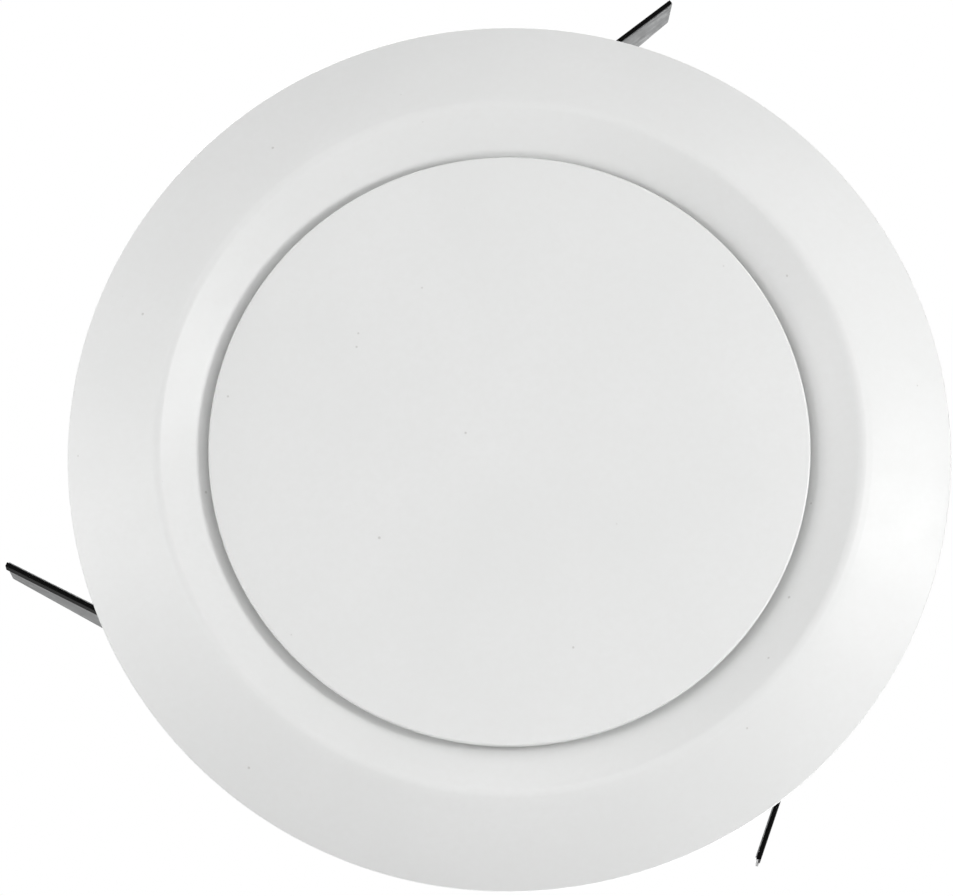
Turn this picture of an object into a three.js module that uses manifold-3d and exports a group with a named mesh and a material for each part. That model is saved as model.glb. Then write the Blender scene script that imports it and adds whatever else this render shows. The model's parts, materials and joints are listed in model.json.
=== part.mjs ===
// Round ceiling air diffuser for a 200 mm duct: a white face ring, a snap-in core with a turning disc,
// a steel duct collar, and three swing-out clamp arms on long screws that grip the ceiling board.
// Millimetres. The origin is the centre of the ceiling plane, +Z points up into the ceiling void,
// and the room is below. Radii are measured from the Z axis.

import * as THREE from "three";
import { mergeVertices } from "three/addons/utils/BufferGeometryUtils.js";
import Module from "manifold-3d";

const wasm = await Module();
wasm.setup();

// ---------------------------------------------------------------- driving dimensions

const RIM_RADIUS = 137; // outer edge of the face ring
const DISC_RADIUS = 93.1; // centre disc
const COLLAR_RADIUS = 99; // outside of the duct collar, for a 200 mm duct
const GAP = 0.3; // clearance between pieces that rest on each other
const PAST = 1; // how far a cutting shape runs past the face it cuts
const RING_STEPS = 48; // facets round a large ring
const HUB_STEPS = 24; // facets round the hub, its bush and the arms' eyes
const SCREW_STEPS = 16; // facets round a clamp screw, boss or spindle
const HOLE_STEPS = 12; // facets round a rivet, small screw or small hole

// Face ring: a shallow cone with a flat shelf behind it that carries the collar and the clamps.
const RIM = { backZ: -0.8, edge: 1.1, round: 0.7 }; // edge is the height of the rim's straight side
const CONE_END = { r: 112.2, z: -15.5 }; // where the cone meets the core ring
const CONE_BULGE = 0.6; // how far the cone stands proud of a straight line
const CONE_STEPS = 5;
const CONE_WALL = { thick: 2.2, rise: 2.53 }; // rise is the wall measured along Z
const CONE_BACK = { low: 0.92, middle: 0.6, high: 0.32 }; // places along the cone where its back turns
const SHELF = { z: -0.8, thick: 2.4, inner: 98.8 };
const GASKET = { inner: 129, outer: 134.5, thick: 3 };

// Core ring: the bell from the crest of the face inwards, a flat seat behind the disc's edge, and a
// skirt up inside the collar.
const SEAM = { r: 0.25, z: 0.15 }; // clearance to the cone's end
const CREST = { r: 109.4, z: -16.4, inner: 107.8, innerZ: -15.5, backInset: 0.6, backRise: 3.4 };
const BELL = { r: 92.7, z: -6.2, rise: 2.2 }; // its inner end, and its wall measured along Z
const SKIRT = { inner: 96.3, outer: 97.5, top: 14 };
const SEAT = { inner: 88, high: -4.2 }; // its inner edge and its back
const LUG = { inner: 88, width: 10, thick: 2.8, top: 11.7 };
const SNAP = { width: 9.4, low: 8.4, high: 12.1, outer: 98.9, clear: 0.35 };

// Duct collar: rolled from sheet, with a foot that is riveted to the shelf.
const COLLAR = { wall: 1.2, top: 66, foot: 104 };
const BEAD = { z: 60, rise: 1.2, half: 2 };
const RIVET = { r: 1.5, head: 2.3, crown: 1.6, thick: 1, ring: 101.6, spread: 40 };

// Core: a four-armed spider, its threaded bush, and the disc on a coarse four-start spindle.
const HUB = { r: 12, low: 4, high: 20 };
const SPIDER_ARM = { width: 3, low: 6, outer: 95.9, foot: 84, footWidth: 12, footThick: 3 };
const CORE_SCREW = { r: 1.5, head: 3, headHigh: 2.2, ring: 91.5, length: 6 };
const BUSH = { r: 8, flange: 11, flangeThick: 2.5, top: 22 };
const RETAINER = { r: 11, thick: 1.2 };
const SPINDLE = { r: 4.8, top: 56, head: 6.5, headThick: 2.6 };
const SPRING = { inner: 5.5, outer: 7.9, length: 26 };
const SLIP_WASHER = { r: 9.5, thick: 1.2 };
const STOP_NUT = { r: 8.4, high: 4.4 };

// Disc: a plain face with a locating ring and ribs behind it, carried by a round plate.
const DISC = { edgeZ: -10.85, dome: 0.5, wall: 2.2, round: 1.3 };
const LOCATING_RING = { inner: 84, outer: 86, top: -3.9 };
const RIB = { count: 6, thick: 1.6, inner: 24, top: -4.9 };
const PLATE = { r: 22, low: -5.2, thick: 2.2, socket: 8.5, socketTop: 0.6 };
const PILLAR = { count: 3, r: 4, ring: 16, firstAngle: 30, floor: 0.3 };
const PLATE_SCREW = { r: 1.4, head: 2.9, headHigh: 1.8, length: 4.6 };

// Clamp arms: each has its own screw, nut and blade. Angles are in the XY plane, in degrees.
const PIVOT_RING = 109.4;
const PIVOT_ANGLES = [-88.9, 151.1, 31.1];
const SWING_ANGLES = [51.1, 55.9, 77.7]; // from straight out, towards folding in against the collar
const CLAMP_BOSS = { r: 5, high: 2.4 };
const CLAMP_SCREW = { r: 2, head: 3.5, crown: 2.45, headHigh: 2.6, top: 71 };
const HEAD_POCKET = { r: 3.9, low: -6 };
const NUT = { barrel: 4, low: 28.4, plateThick: 2.5, top: 64.5, inward: 9.2, outward: 6, width: 13 };
const WAVE_WASHER = { r: 6.2, thick: 1 };
const EYE = { inner: 4.3, outer: 6.1, low: 32.5, high: 62.5 };
const CLIP = { r: 6, thick: 0.8 };
const LOCK_NUT = { r: 4, low: 66, high: 69.2 };
const BLADE = { thick: 0.7, offset: 5.08, low: 32.4, length: 66.6, tipHigh: 52.7, slope: 0.267 };
const STRIP = { thick: 0.6, gap: 0.06, low: 31.8, high: 38.5, start: 8, hem: 0.5 };

// ---------------------------------------------------------------- worked-out places

const shelfTop = SHELF.z + SHELF.thick;
const collarFoot = shelfTop + GAP;
const collarInner = COLLAR_RADIUS - COLLAR.wall;
const spiderFootLow = LUG.top + GAP;
const spiderFootTop = spiderFootLow + SPIDER_ARM.footThick;
const boreRadius = SPINDLE.r + GAP; // of everything the spindle passes through
const bushFlangeTop = HUB.low - GAP;
const retainerLow = HUB.high + GAP;
const springLow = BUSH.top + GAP;
const springTop = springLow + SPRING.length;
const slipWasherLow = springTop + GAP;
const slipWasherTop = slipWasherLow + SLIP_WASHER.thick;
const stopNutLow = slipWasherTop + GAP;
const discBack = DISC.edgeZ + DISC.wall;
const plateTop = PLATE.low + PLATE.thick;
const waveWasherLow = NUT.low + NUT.plateThick + GAP;
const clipLow = EYE.high + GAP;
const skirtMiddle = (SKIRT.inner + SKIRT.outer) / 2;
const ringMiddle = (LOCATING_RING.inner + LOCATING_RING.outer) / 2;
const quarterTurns = [0, 90, 180, 270];
const snapAngles = quarterTurns.map((angle) => angle + 45);
const rivetAngles = PIVOT_ANGLES.flatMap((angle) => [angle - RIVET.spread, angle + RIVET.spread]);
const pillarAngles = Array.from(
  { length: PILLAR.count },
  (_, i) => PILLAR.firstAngle + (i * 360) / PILLAR.count,
);

// ---------------------------------------------------------------- materials

const whiteAbs = { color: 0xeeeeec, roughness: 0.42, metalness: 0 };
const greyFoam = { color: 0x3a3c3e, roughness: 0.95, metalness: 0 };
const galvanised = { color: 0xa9adae, roughness: 0.45, metalness: 0.9 };
const zincPlated = { color: 0xc9c7bf, roughness: 0.3, metalness: 1 };
const greyNylon = { color: 0xb9bab8, roughness: 0.55, metalness: 0 };
const springSteel = { color: 0x85878a, roughness: 0.35, metalness: 1 };
const blackRubber = { color: 0x101010, roughness: 0.8, metalness: 0 };

const diffuser = new THREE.Group();

function place(name, geometry, finish, parent = diffuser) {
  const mesh = new THREE.Mesh(geometry, new THREE.MeshStandardMaterial(finish));
  mesh.name = name;
  parent.add(mesh);
}

// ---------------------------------------------------------------- shape helpers

const radians = THREE.MathUtils.degToRad;

// A closed outline of [radius, z] points turned about Z.
function revolve(outline, steps = RING_STEPS) {
  const points = outline.map(([r, z]) => new THREE.Vector2(r, z));
  points.push(points[0].clone());
  if (THREE.ShapeUtils.area(points) < 0) points.reverse();
  const geometry = new THREE.LatheGeometry(points, steps);
  geometry.rotateX(Math.PI / 2);
  return geometry;
}

function tube(inner, outer, low, high, steps = SCREW_STEPS) {
  return revolve([[inner, low], [outer, low], [outer, high], [inner, high]], steps);
}

function rod(radius, low, high, steps = SCREW_STEPS) {
  const geometry = new THREE.CylinderGeometry(radius, radius, high - low, steps);
  geometry.rotateX(Math.PI / 2);
  geometry.translate(0, 0, (low + high) / 2);
  return geometry;
}

function block(x, y, z) {
  const geometry = new THREE.BoxGeometry(x[1] - x[0], y[1] - y[0], z[1] - z[0]);
  geometry.translate((x[0] + x[1]) / 2, (y[0] + y[1]) / 2, (z[0] + z[1]) / 2);
  return geometry;
}

// A flat outline of [x, z] points given thickness along Y.
function sheet(outline, y) {
  const shape = new THREE.Shape(outline.map(([x, z]) => new THREE.Vector2(x, z)));
  const geometry = new THREE.ExtrudeGeometry(shape, { depth: y[1] - y[0], bevelEnabled: false });
  geometry.rotateX(Math.PI / 2);
  geometry.translate(0, y[1], 0);
  return geometry;
}

// The same geometry moved out along X and turned about Z.
function around(geometry, angle, radius = 0) {
  const moved = geometry.clone();
  moved.translate(radius, 0, 0);
  moved.rotateZ(radians(angle));
  return moved;
}

function solid(geometry) {
  const bare = geometry.clone();
  bare.deleteAttribute("normal");
  bare.deleteAttribute("uv");
  const merged = mergeVertices(bare, 1e-4);
  const mesh = new wasm.Mesh({
    numProp: 3,
    vertProperties: merged.attributes.position.array,
    triVerts: new Uint32Array(merged.index.array),
  });
  return new wasm.Manifold(mesh);
}

// The body with the added shapes joined on and the removed ones cut away.
function carve(body, added, removed) {
  let result = solid(body);
  for (const shape of added) result = result.add(solid(shape));
  for (const shape of removed) result = result.subtract(solid(shape));
  const mesh = result.getMesh();
  const geometry = new THREE.BufferGeometry();
  geometry.setAttribute("position", new THREE.BufferAttribute(new Float32Array(mesh.vertProperties), 3));
  geometry.setIndex(new THREE.BufferAttribute(new Uint32Array(mesh.triVerts), 1));
  geometry.computeVertexNormals();
  return geometry;
}

// Round holes of one size through z, at each of the angles on a ring.
function holes(angles, ring, radius, low, high, steps = HOLE_STEPS) {
  return angles.map((angle) => around(rod(radius, low, high, steps), angle, ring));
}

function panScrew(size, seat) {
  const crown = 0.6; // of the head's radius and height
  return revolve([
    [0, seat - size.length],
    [size.r, seat - size.length],
    [size.r, seat],
    [size.head, seat],
    [size.head, seat + size.headHigh * crown],
    [size.head * crown, seat + size.headHigh],
    [0, seat + size.headHigh],
  ], HOLE_STEPS);
}

function hexNut(radius, bore, low, high) {
  return carve(rod(radius, low, high, 6), [], [rod(bore, low - PAST, high + PAST)]);
}

// ---------------------------------------------------------------- face ring and gasket

// A point on the cone's room side, from the rim (t = 0) to the core ring (t = 1).
function conePoint(t) {
  const r = THREE.MathUtils.lerp(RIM_RADIUS - RIM.round, CONE_END.r, t);
  const z = THREE.MathUtils.lerp(RIM.backZ - RIM.edge - RIM.round, CONE_END.z, t);
  return [r, z - CONE_BULGE * 4 * t * (1 - t)];
}

function faceRing() {
  const front = Array.from({ length: CONE_STEPS + 1 }, (_, i) => conePoint(i / CONE_STEPS));
  const backZ = (t) => conePoint(t)[1] + CONE_WALL.rise;
  const innerWall = CONE_END.r + CONE_WALL.thick;
  const channel = GASKET.inner - GAP;
  const pocketFloor = -GASKET.thick - GAP;
  const ring = revolve([
    [RIM_RADIUS, RIM.backZ],
    [RIM_RADIUS, RIM.backZ - RIM.edge],
    ...front,
    [CONE_END.r, SHELF.z],
    [SHELF.inner, SHELF.z],
    [SHELF.inner, shelfTop],
    [innerWall, shelfTop],
    [innerWall, backZ(CONE_BACK.low)],
    [conePoint(CONE_BACK.middle)[0], backZ(CONE_BACK.middle)],
    [channel, backZ(CONE_BACK.high)],
    [channel, pocketFloor],
    [GASKET.outer + GAP, pocketFloor],
    [GASKET.outer + GAP, RIM.backZ],
  ]);
  const bossTop = shelfTop + CLAMP_BOSS.high;
  const bosses = holes(PIVOT_ANGLES, PIVOT_RING, CLAMP_BOSS.r, SHELF.z + GAP, bossTop, SCREW_STEPS);
  const screws = holes(
    PIVOT_ANGLES, PIVOT_RING, CLAMP_SCREW.r + GAP, SHELF.z - PAST, bossTop + PAST, SCREW_STEPS);
  const pockets = holes(
    PIVOT_ANGLES, PIVOT_RING, HEAD_POCKET.r, HEAD_POCKET.low, SHELF.z, SCREW_STEPS);
  const rivets = holes(rivetAngles, RIVET.ring, RIVET.r + GAP, SHELF.z - PAST, shelfTop + PAST);
  return carve(ring, bosses, [...screws, ...pockets, ...rivets]);
}

place("face_ring", faceRing(), whiteAbs);
place("ceiling_gasket", tube(GASKET.inner, GASKET.outer, -GASKET.thick, 0, RING_STEPS), greyFoam);

// ---------------------------------------------------------------- duct collar and its rivets

function ductCollar() {
  const footTop = collarFoot + COLLAR.wall;
  const wall = revolve([
    [collarInner, collarFoot],
    [COLLAR.foot, collarFoot],
    [COLLAR.foot, footTop],
    [COLLAR_RADIUS, footTop],
    [COLLAR_RADIUS, BEAD.z - BEAD.half],
    [COLLAR_RADIUS + BEAD.rise, BEAD.z],
    [COLLAR_RADIUS, BEAD.z + BEAD.half],
    [COLLAR_RADIUS, COLLAR.top],
    [collarInner, COLLAR.top],
    [collarInner, BEAD.z + BEAD.half],
    [collarInner + BEAD.rise, BEAD.z],
    [collarInner, BEAD.z - BEAD.half],
  ]);
  const half = SNAP.width / 2 + SNAP.clear;
  const window = block(
    [collarInner - PAST, COLLAR_RADIUS + PAST],
    [-half, half],
    [SNAP.low - SNAP.clear, SNAP.high + SNAP.clear],
  );
  const windows = snapAngles.map((angle) => around(window, angle));
  const rivets = holes(rivetAngles, RIVET.ring, RIVET.r + GAP, collarFoot - PAST, footTop + PAST);
  return carve(wall, [], [...windows, ...rivets]);
}

function rivet() {
  const low = SHELF.z - GAP;
  const high = collarFoot + COLLAR.wall + GAP;
  return revolve([
    [0, low - RIVET.thick],
    [RIVET.crown, low - RIVET.thick],
    [RIVET.head, low],
    [RIVET.r, low],
    [RIVET.r, high],
    [RIVET.head, high],
    [RIVET.crown, high + RIVET.thick],
    [0, high + RIVET.thick],
  ], HOLE_STEPS);
}

place("duct_collar", ductCollar(), galvanised);
rivetAngles.forEach((angle, i) => {
  place(`collar_rivet_${i + 1}`, around(rivet(), angle, RIVET.ring), zincPlated);
});

// ---------------------------------------------------------------- core ring, spider and their screws

// The height of the bell's back at a radius.
function bellBack(r) {
  const t = (r - BELL.r) / (CREST.inner - BELL.r);
  return THREE.MathUtils.lerp(BELL.z, CREST.innerZ, t) + BELL.rise;
}

function coreRing() {
  const bell = revolve([
    [CONE_END.r - SEAM.r, CONE_END.z - SEAM.z],
    [CREST.r, CREST.z],
    [CREST.inner, CREST.innerZ],
    [BELL.r, BELL.z],
    [SEAT.inner, BELL.z],
    [SEAT.inner, SEAT.high],
    [SKIRT.inner, SEAT.high],
    [SKIRT.inner, SKIRT.top],
    [SKIRT.outer, SKIRT.top],
    [SKIRT.outer, bellBack(SKIRT.outer)],
    [CREST.r - CREST.backInset, CREST.z + CREST.backRise],
    [CONE_END.r - SEAM.r, CREST.z + CREST.backRise],
  ]);
  const lug = block(
    [LUG.inner, skirtMiddle],
    [-LUG.width / 2, LUG.width / 2],
    [LUG.top - LUG.thick, LUG.top],
  );
  const snap = block(
    [SKIRT.outer - SNAP.clear, SNAP.outer],
    [-SNAP.width / 2, SNAP.width / 2],
    [SNAP.low, SNAP.high],
  );
  const lugs = quarterTurns.map((angle) => around(lug, angle));
  const snaps = snapAngles.map((angle) => around(snap, angle));
  const lugHoles = holes(
    quarterTurns, CORE_SCREW.ring, CORE_SCREW.r + GAP, LUG.top - LUG.thick - PAST, LUG.top + PAST);
  return carve(bell, [...lugs, ...snaps], lugHoles);
}

function coreSpider() {
  const half = SPIDER_ARM.width / 2;
  const footHalf = SPIDER_ARM.footWidth / 2;
  const armEnd = SPIDER_ARM.foot + SPIDER_ARM.width;
  const reach = Math.sqrt(SPIDER_ARM.outer ** 2 - footHalf ** 2);
  const arm = block([0, armEnd], [-half, half], [SPIDER_ARM.low, spiderFootTop]);
  const foot = block([SPIDER_ARM.foot, reach], [-footHalf, footHalf], [spiderFootLow, spiderFootTop]);
  const limbs = quarterTurns.flatMap((angle) => [around(arm, angle), around(foot, angle)]);
  const bore = rod(BUSH.r + GAP, HUB.low - PAST, HUB.high + PAST);
  const footHoles = holes(
    quarterTurns, CORE_SCREW.ring, CORE_SCREW.r + GAP, spiderFootLow - PAST, spiderFootTop + PAST);
  return carve(rod(HUB.r, HUB.low, HUB.high, HUB_STEPS), limbs, [bore, ...footHoles]);
}

place("core_ring", coreRing(), whiteAbs);
place("core_spider", coreSpider(), greyNylon);
quarterTurns.forEach((angle, i) => {
  const screw = around(panScrew(CORE_SCREW, spiderFootTop + GAP), angle, CORE_SCREW.ring);
  place(`spider_screw_${i + 1}`, screw, zincPlated);
});

// ---------------------------------------------------------------- spindle, bush, spring and stop nut

function hubBush() {
  return revolve([
    [boreRadius, bushFlangeTop - BUSH.flangeThick],
    [BUSH.flange, bushFlangeTop - BUSH.flangeThick],
    [BUSH.flange, bushFlangeTop],
    [BUSH.r, bushFlangeTop],
    [BUSH.r, BUSH.top],
    [boreRadius, BUSH.top],
  ], HUB_STEPS);
}

function discSpindle() {
  const headTop = PLATE.low - GAP;
  const headLow = headTop - SPINDLE.headThick;
  return carve(rod(SPINDLE.r, headLow, SPINDLE.top), [rod(SPINDLE.head, headLow, headTop, 6)], []);
}

const retainer = tube(BUSH.r + GAP, RETAINER.r, retainerLow, retainerLow + RETAINER.thick, HUB_STEPS);
const stopNut = hexNut(STOP_NUT.r, boreRadius, stopNutLow, stopNutLow + STOP_NUT.high);

place("hub_bush", hubBush(), greyNylon);
place("bush_retainer", retainer, springSteel);
place("disc_spindle", discSpindle(), greyNylon);
place("backlash_spring", tube(SPRING.inner, SPRING.outer, springLow, springTop), springSteel);
place("slip_washer", tube(boreRadius, SLIP_WASHER.r, slipWasherLow, slipWasherTop), zincPlated);
place("stop_nut", stopNut, greyNylon);

// ---------------------------------------------------------------- disc and its back plate

function centreDisc() {
  const pan = revolve([
    [0, DISC.edgeZ - DISC.dome],
    [DISC_RADIUS / 2, DISC.edgeZ - DISC.dome * 0.75],
    [DISC_RADIUS - DISC.round, DISC.edgeZ],
    [DISC_RADIUS - DISC.round * 0.3, DISC.edgeZ + DISC.round * 0.3],
    [DISC_RADIUS, DISC.edgeZ + DISC.round],
    [DISC_RADIUS, discBack],
    [LOCATING_RING.outer, discBack],
    [LOCATING_RING.outer, LOCATING_RING.top],
    [LOCATING_RING.inner, LOCATING_RING.top],
    [LOCATING_RING.inner, discBack],
    [0, discBack],
  ]);
  const rib = block(
    [RIB.inner, ringMiddle],
    [-RIB.thick / 2, RIB.thick / 2],
    [discBack - PAST, RIB.top],
  );
  const ribs = Array.from({ length: RIB.count }, (_, i) => around(rib, (i * 360) / RIB.count));
  const pillars = holes(pillarAngles, PILLAR.ring, PILLAR.r, discBack - PAST, PLATE.low - GAP);
  const screwHoles = holes(
    pillarAngles, PILLAR.ring, PLATE_SCREW.r + GAP, discBack + PILLAR.floor, PLATE.low + PAST);
  return carve(pan, [...ribs, ...pillars], screwHoles);
}

function spindlePlate() {
  const plate = revolve([
    [boreRadius, PLATE.low],
    [PLATE.r, PLATE.low],
    [PLATE.r, plateTop],
    [PLATE.socket, plateTop],
    [PLATE.socket, PLATE.socketTop],
    [boreRadius, PLATE.socketTop],
  ], HUB_STEPS);
  const screwHoles = holes(
    pillarAngles, PILLAR.ring, PLATE_SCREW.r + GAP, PLATE.low - PAST, plateTop + PAST);
  return carve(plate, [], screwHoles);
}

place("centre_disc", centreDisc(), whiteAbs);
place("spindle_plate", spindlePlate(), greyNylon);
pillarAngles.forEach((angle, i) => {
  const screw = around(panScrew(PLATE_SCREW, plateTop + GAP), angle, PILLAR.ring);
  place(`plate_screw_${i + 1}`, screw, zincPlated);
});

// ---------------------------------------------------------------- clamp arms

function clampScrew() {
  const seat = SHELF.z - GAP;
  return revolve([
    [0, seat - CLAMP_SCREW.headHigh],
    [CLAMP_SCREW.crown, seat - CLAMP_SCREW.headHigh],
    [CLAMP_SCREW.head, seat - CLAMP_SCREW.headHigh / 2],
    [CLAMP_SCREW.head, seat],
    [CLAMP_SCREW.r, seat],
    [CLAMP_SCREW.r, CLAMP_SCREW.top],
    [0, CLAMP_SCREW.top],
  ], SCREW_STEPS);
}

// A threaded barrel on a plate whose straight inner edge slides down the collar, so it can't turn.
function clampNut() {
  const plate = block(
    [-NUT.inward, NUT.outward],
    [-NUT.width / 2, NUT.width / 2],
    [NUT.low, NUT.low + NUT.plateThick],
  );
  const bore = rod(CLAMP_SCREW.r + GAP, NUT.low - PAST, NUT.top + PAST);
  return carve(rod(NUT.barrel, NUT.low, NUT.top), [plate], [bore]);
}

// A rolled eye round the nut's barrel, with the tapered blade leaving it on one side.
function armBlade() {
  const slopeStart = BLADE.length - (EYE.high - BLADE.tipHigh) / BLADE.slope;
  const outline = [
    [0, BLADE.low],
    [BLADE.length, BLADE.low],
    [BLADE.length, BLADE.tipHigh],
    [slopeStart, EYE.high],
    [0, EYE.high],
  ];
  const sides = [-BLADE.offset - BLADE.thick / 2, -BLADE.offset + BLADE.thick / 2];
  return carve(tube(EYE.inner, EYE.outer, EYE.low, EYE.high, HUB_STEPS), [sheet(outline, sides)], []);
}

// A black strip that covers the blade's lower edge and the foot of its outer side.
function edgeStrip() {
  const inside = -BLADE.offset + BLADE.thick / 2;
  const skinInside = -BLADE.offset - BLADE.thick / 2 - STRIP.gap;
  const outside = skinInside - STRIP.thick;
  const skin = block([STRIP.start, BLADE.length], [outside, skinInside], [STRIP.low, STRIP.high]);
  const hem = block([STRIP.start, BLADE.length], [outside, inside], [STRIP.low, STRIP.low + STRIP.hem]);
  return carve(skin, [hem], []);
}

// One clamp is drawn with its screw on the Z axis and is moved out to its pivot.
PIVOT_ANGLES.forEach((pivot, i) => {
  const n = i + 1;
  const clamp = new THREE.Group();
  clamp.position.set(PIVOT_RING * Math.cos(radians(pivot)), PIVOT_RING * Math.sin(radians(pivot)), 0);
  clamp.rotation.z = radians(pivot);
  const swing = new THREE.Group();
  swing.rotation.z = radians(SWING_ANGLES[i]);
  clamp.add(swing);
  diffuser.add(clamp);
  const lockNut = hexNut(LOCK_NUT.r, CLAMP_SCREW.r + GAP, LOCK_NUT.low, LOCK_NUT.high);
  const waveWasher = tube(EYE.inner, WAVE_WASHER.r, waveWasherLow, waveWasherLow + WAVE_WASHER.thick);
  place(`clamp_screw_${n}`, clampScrew(), zincPlated, clamp);
  place(`clamp_lock_nut_${n}`, lockNut, zincPlated, clamp);
  place(`clamp_nut_${n}`, clampNut(), zincPlated, clamp);
  place(`wave_washer_${n}`, waveWasher, springSteel, clamp);
  place(`eye_clip_${n}`, tube(EYE.inner, CLIP.r, clipLow, clipLow + CLIP.thick), springSteel, clamp);
  place(`arm_blade_${n}`, armBlade(), galvanised, swing);
  place(`arm_edge_strip_${n}`, edgeStrip(), blackRubber, swing);
});

export default diffuser;
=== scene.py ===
"""Round ceiling air diffuser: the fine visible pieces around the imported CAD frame. Metres, +Z up."""

import json
import math

import bmesh
import bpy
from mathutils import Matrix, Vector

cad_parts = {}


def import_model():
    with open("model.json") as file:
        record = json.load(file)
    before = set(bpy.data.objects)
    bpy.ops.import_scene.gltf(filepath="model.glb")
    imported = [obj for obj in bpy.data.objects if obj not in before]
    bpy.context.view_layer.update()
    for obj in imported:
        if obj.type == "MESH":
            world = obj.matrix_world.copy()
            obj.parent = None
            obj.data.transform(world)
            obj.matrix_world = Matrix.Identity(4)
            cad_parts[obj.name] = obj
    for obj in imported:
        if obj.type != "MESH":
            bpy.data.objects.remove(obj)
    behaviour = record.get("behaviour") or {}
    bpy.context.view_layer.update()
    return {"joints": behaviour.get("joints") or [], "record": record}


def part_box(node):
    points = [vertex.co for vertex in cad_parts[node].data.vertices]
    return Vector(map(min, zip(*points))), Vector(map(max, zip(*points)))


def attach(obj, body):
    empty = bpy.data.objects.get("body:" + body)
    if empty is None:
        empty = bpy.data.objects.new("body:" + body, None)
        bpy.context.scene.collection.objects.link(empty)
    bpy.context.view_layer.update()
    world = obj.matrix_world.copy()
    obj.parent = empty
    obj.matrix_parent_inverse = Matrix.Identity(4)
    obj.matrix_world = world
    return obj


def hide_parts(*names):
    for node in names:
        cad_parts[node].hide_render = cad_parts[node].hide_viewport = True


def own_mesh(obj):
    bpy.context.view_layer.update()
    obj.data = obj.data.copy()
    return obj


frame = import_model()
record = frame["record"]

# ---------------------------------------------------------------- sizes

MM = 0.001
RING_STEPS = 240  # facets round a large ring
HUB_STEPS = 96  # facets round the hub, the spindle, its plate and the washers
NUT_STEPS = 72  # facets of a nut's chamfer
ROD_STEPS = 48  # facets round a rivet, boss or barrel
SCREW_STEPS = 24  # facets round a screw
ARC_STEPS = 5  # segments in a rounded corner
SMOOTH_BELOW = math.radians(32)  # edges that turn less than this are shaded smooth

BODY_OF = {node: body for body, nodes in record["behaviour"]["bodies"].items() for node in nodes}
SLOT_OF = {part["node"]: part["material_slot"] for part in record["subparts"]}
JOINTS = {joint["name"]: joint for joint in frame["joints"]}

# Driving sizes read from the frame.
RIM_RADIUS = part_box("face_ring")[1].x
DISC_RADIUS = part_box("centre_disc")[1].x
COLLAR_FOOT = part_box("duct_collar")[1].x
GASKET_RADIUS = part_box("ceiling_gasket")[1].x

# Face ring.
RIM_BACK = -0.8 * MM
RIM_CORNER = -2.16 * MM  # where the rim's straight side would meet the cone
CONE_START = (RIM_RADIUS - 0.7 * MM, -2.6 * MM)
CONE_END = (112.2 * MM, -15.5 * MM)
CONE_BULGE = 0.6 * MM
CONE_RISE = 2.53 * MM  # wall of the cone measured along Z
CONE_STEPS = 24
CONE_BACK = (0.92, 0.6, 0.32)  # places along the cone where its back turns
SHELF = {"low": -0.8 * MM, "high": 1.6 * MM, "inner": 98.8 * MM, "wall": 114.4 * MM}
GAP = 0.3 * MM
BOSS = {"r": 5 * MM, "high": 2.4 * MM}
POCKET = {"r": 3.9 * MM, "low": -6 * MM}
RIVET_RING = 101.6 * MM
RIVET_SPREAD = 40
PAST = 1 * MM  # how far a cutting shape runs past what it cuts
HOLE_RADIUS = 1.8 * MM  # of the holes for rivets and small screws
HOLE_STEPS = 24
THREAD_DEPTH = 0.61  # of a screw's pitch
CLEAR_M4 = 2.3 * MM  # radius of a hole that clears a clamp screw

# Core ring.
CREST = (108.8 * MM, -16.8 * MM)  # where the cone and the bell would meet
CREST_ROUND = 4.5 * MM
CREST_BACK = -13.0 * MM
CREST_STEPS = 10
SKIRT = {"inner": 96.3 * MM, "outer": 97.5 * MM, "top": 14 * MM}
BELL = {"inner": 92.7 * MM, "z": -6.2 * MM, "rise": 2.2 * MM}  # its inner end, and its wall along Z
SEAT = {"inner": 88 * MM, "high": -4.2 * MM}
LUG = {"inner": 88 * MM, "width": 10 * MM, "low": 8.9 * MM, "high": 11.7 * MM}
SNAP = {"width": 9.4 * MM, "low": 8.4 * MM, "high": 12.1 * MM, "outer": 98.9 * MM, "room": 0.35 * MM}
LUG_ANGLES = [0, 90, 180, 270]
SNAP_ANGLES = [45, 135, 225, 315]

# Duct collar.
COLLAR = {"outer": 99 * MM, "wall": 1.2 * MM}
BEAD = {"z": 60 * MM, "rise": 1.2 * MM, "half": 2.4 * MM}
LAP = {"angle": 90, "width": 10 * MM, "thick": 0.5 * MM, "welds": 5, "weld": 1.6 * MM}

# Core.
CORE_SCREW_RING = 91.5 * MM
SPINDLE = {"r": 4.8 * MM, "depth": 0.85 * MM, "pitch": 2.5 * MM, "starts": 4}
BUSH_BORE = 5.1 * MM  # radius of the holes that clear the spindle
SPRING = {"wire": 0.6 * MM, "r": 6.7 * MM, "turns": 6.5, "dead": 1.0}
DISC = {"dome": 0.5 * MM, "edge": -10.85 * MM, "wall": 2.2 * MM, "round": 0.7 * MM}
LOCATING_RING = {"inner": 84 * MM, "outer": 86 * MM, "top": -3.9 * MM}
RIBS = {"count": 6, "thick": 1.6 * MM, "inner": 24 * MM, "top": -4.9 * MM}
PILLARS = {"count": 3, "r": 4 * MM, "bore": 1.7 * MM, "ring": 16 * MM, "first": 30}

# Clamps.
PIVOT_RING = Vector(JOINTS["arm_swing_1"]["pos_m"]).length
SWING_OUT = 20  # degrees from straight out at the arm's outer limit
PITCH_M4 = 0.7 * MM
NUT = {"barrel": 4 * MM, "inward": 9.2 * MM, "outward": 6 * MM, "width": 13 * MM, "plate": 2.5 * MM}
EYE_RADIUS = 5.08 * MM  # to the middle of the rolled sheet
BLADE = {"thick": 0.7 * MM, "length": 66.6 * MM, "tip": 52.7 * MM, "slope": 0.267, "setback": 1.2 * MM}
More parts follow.
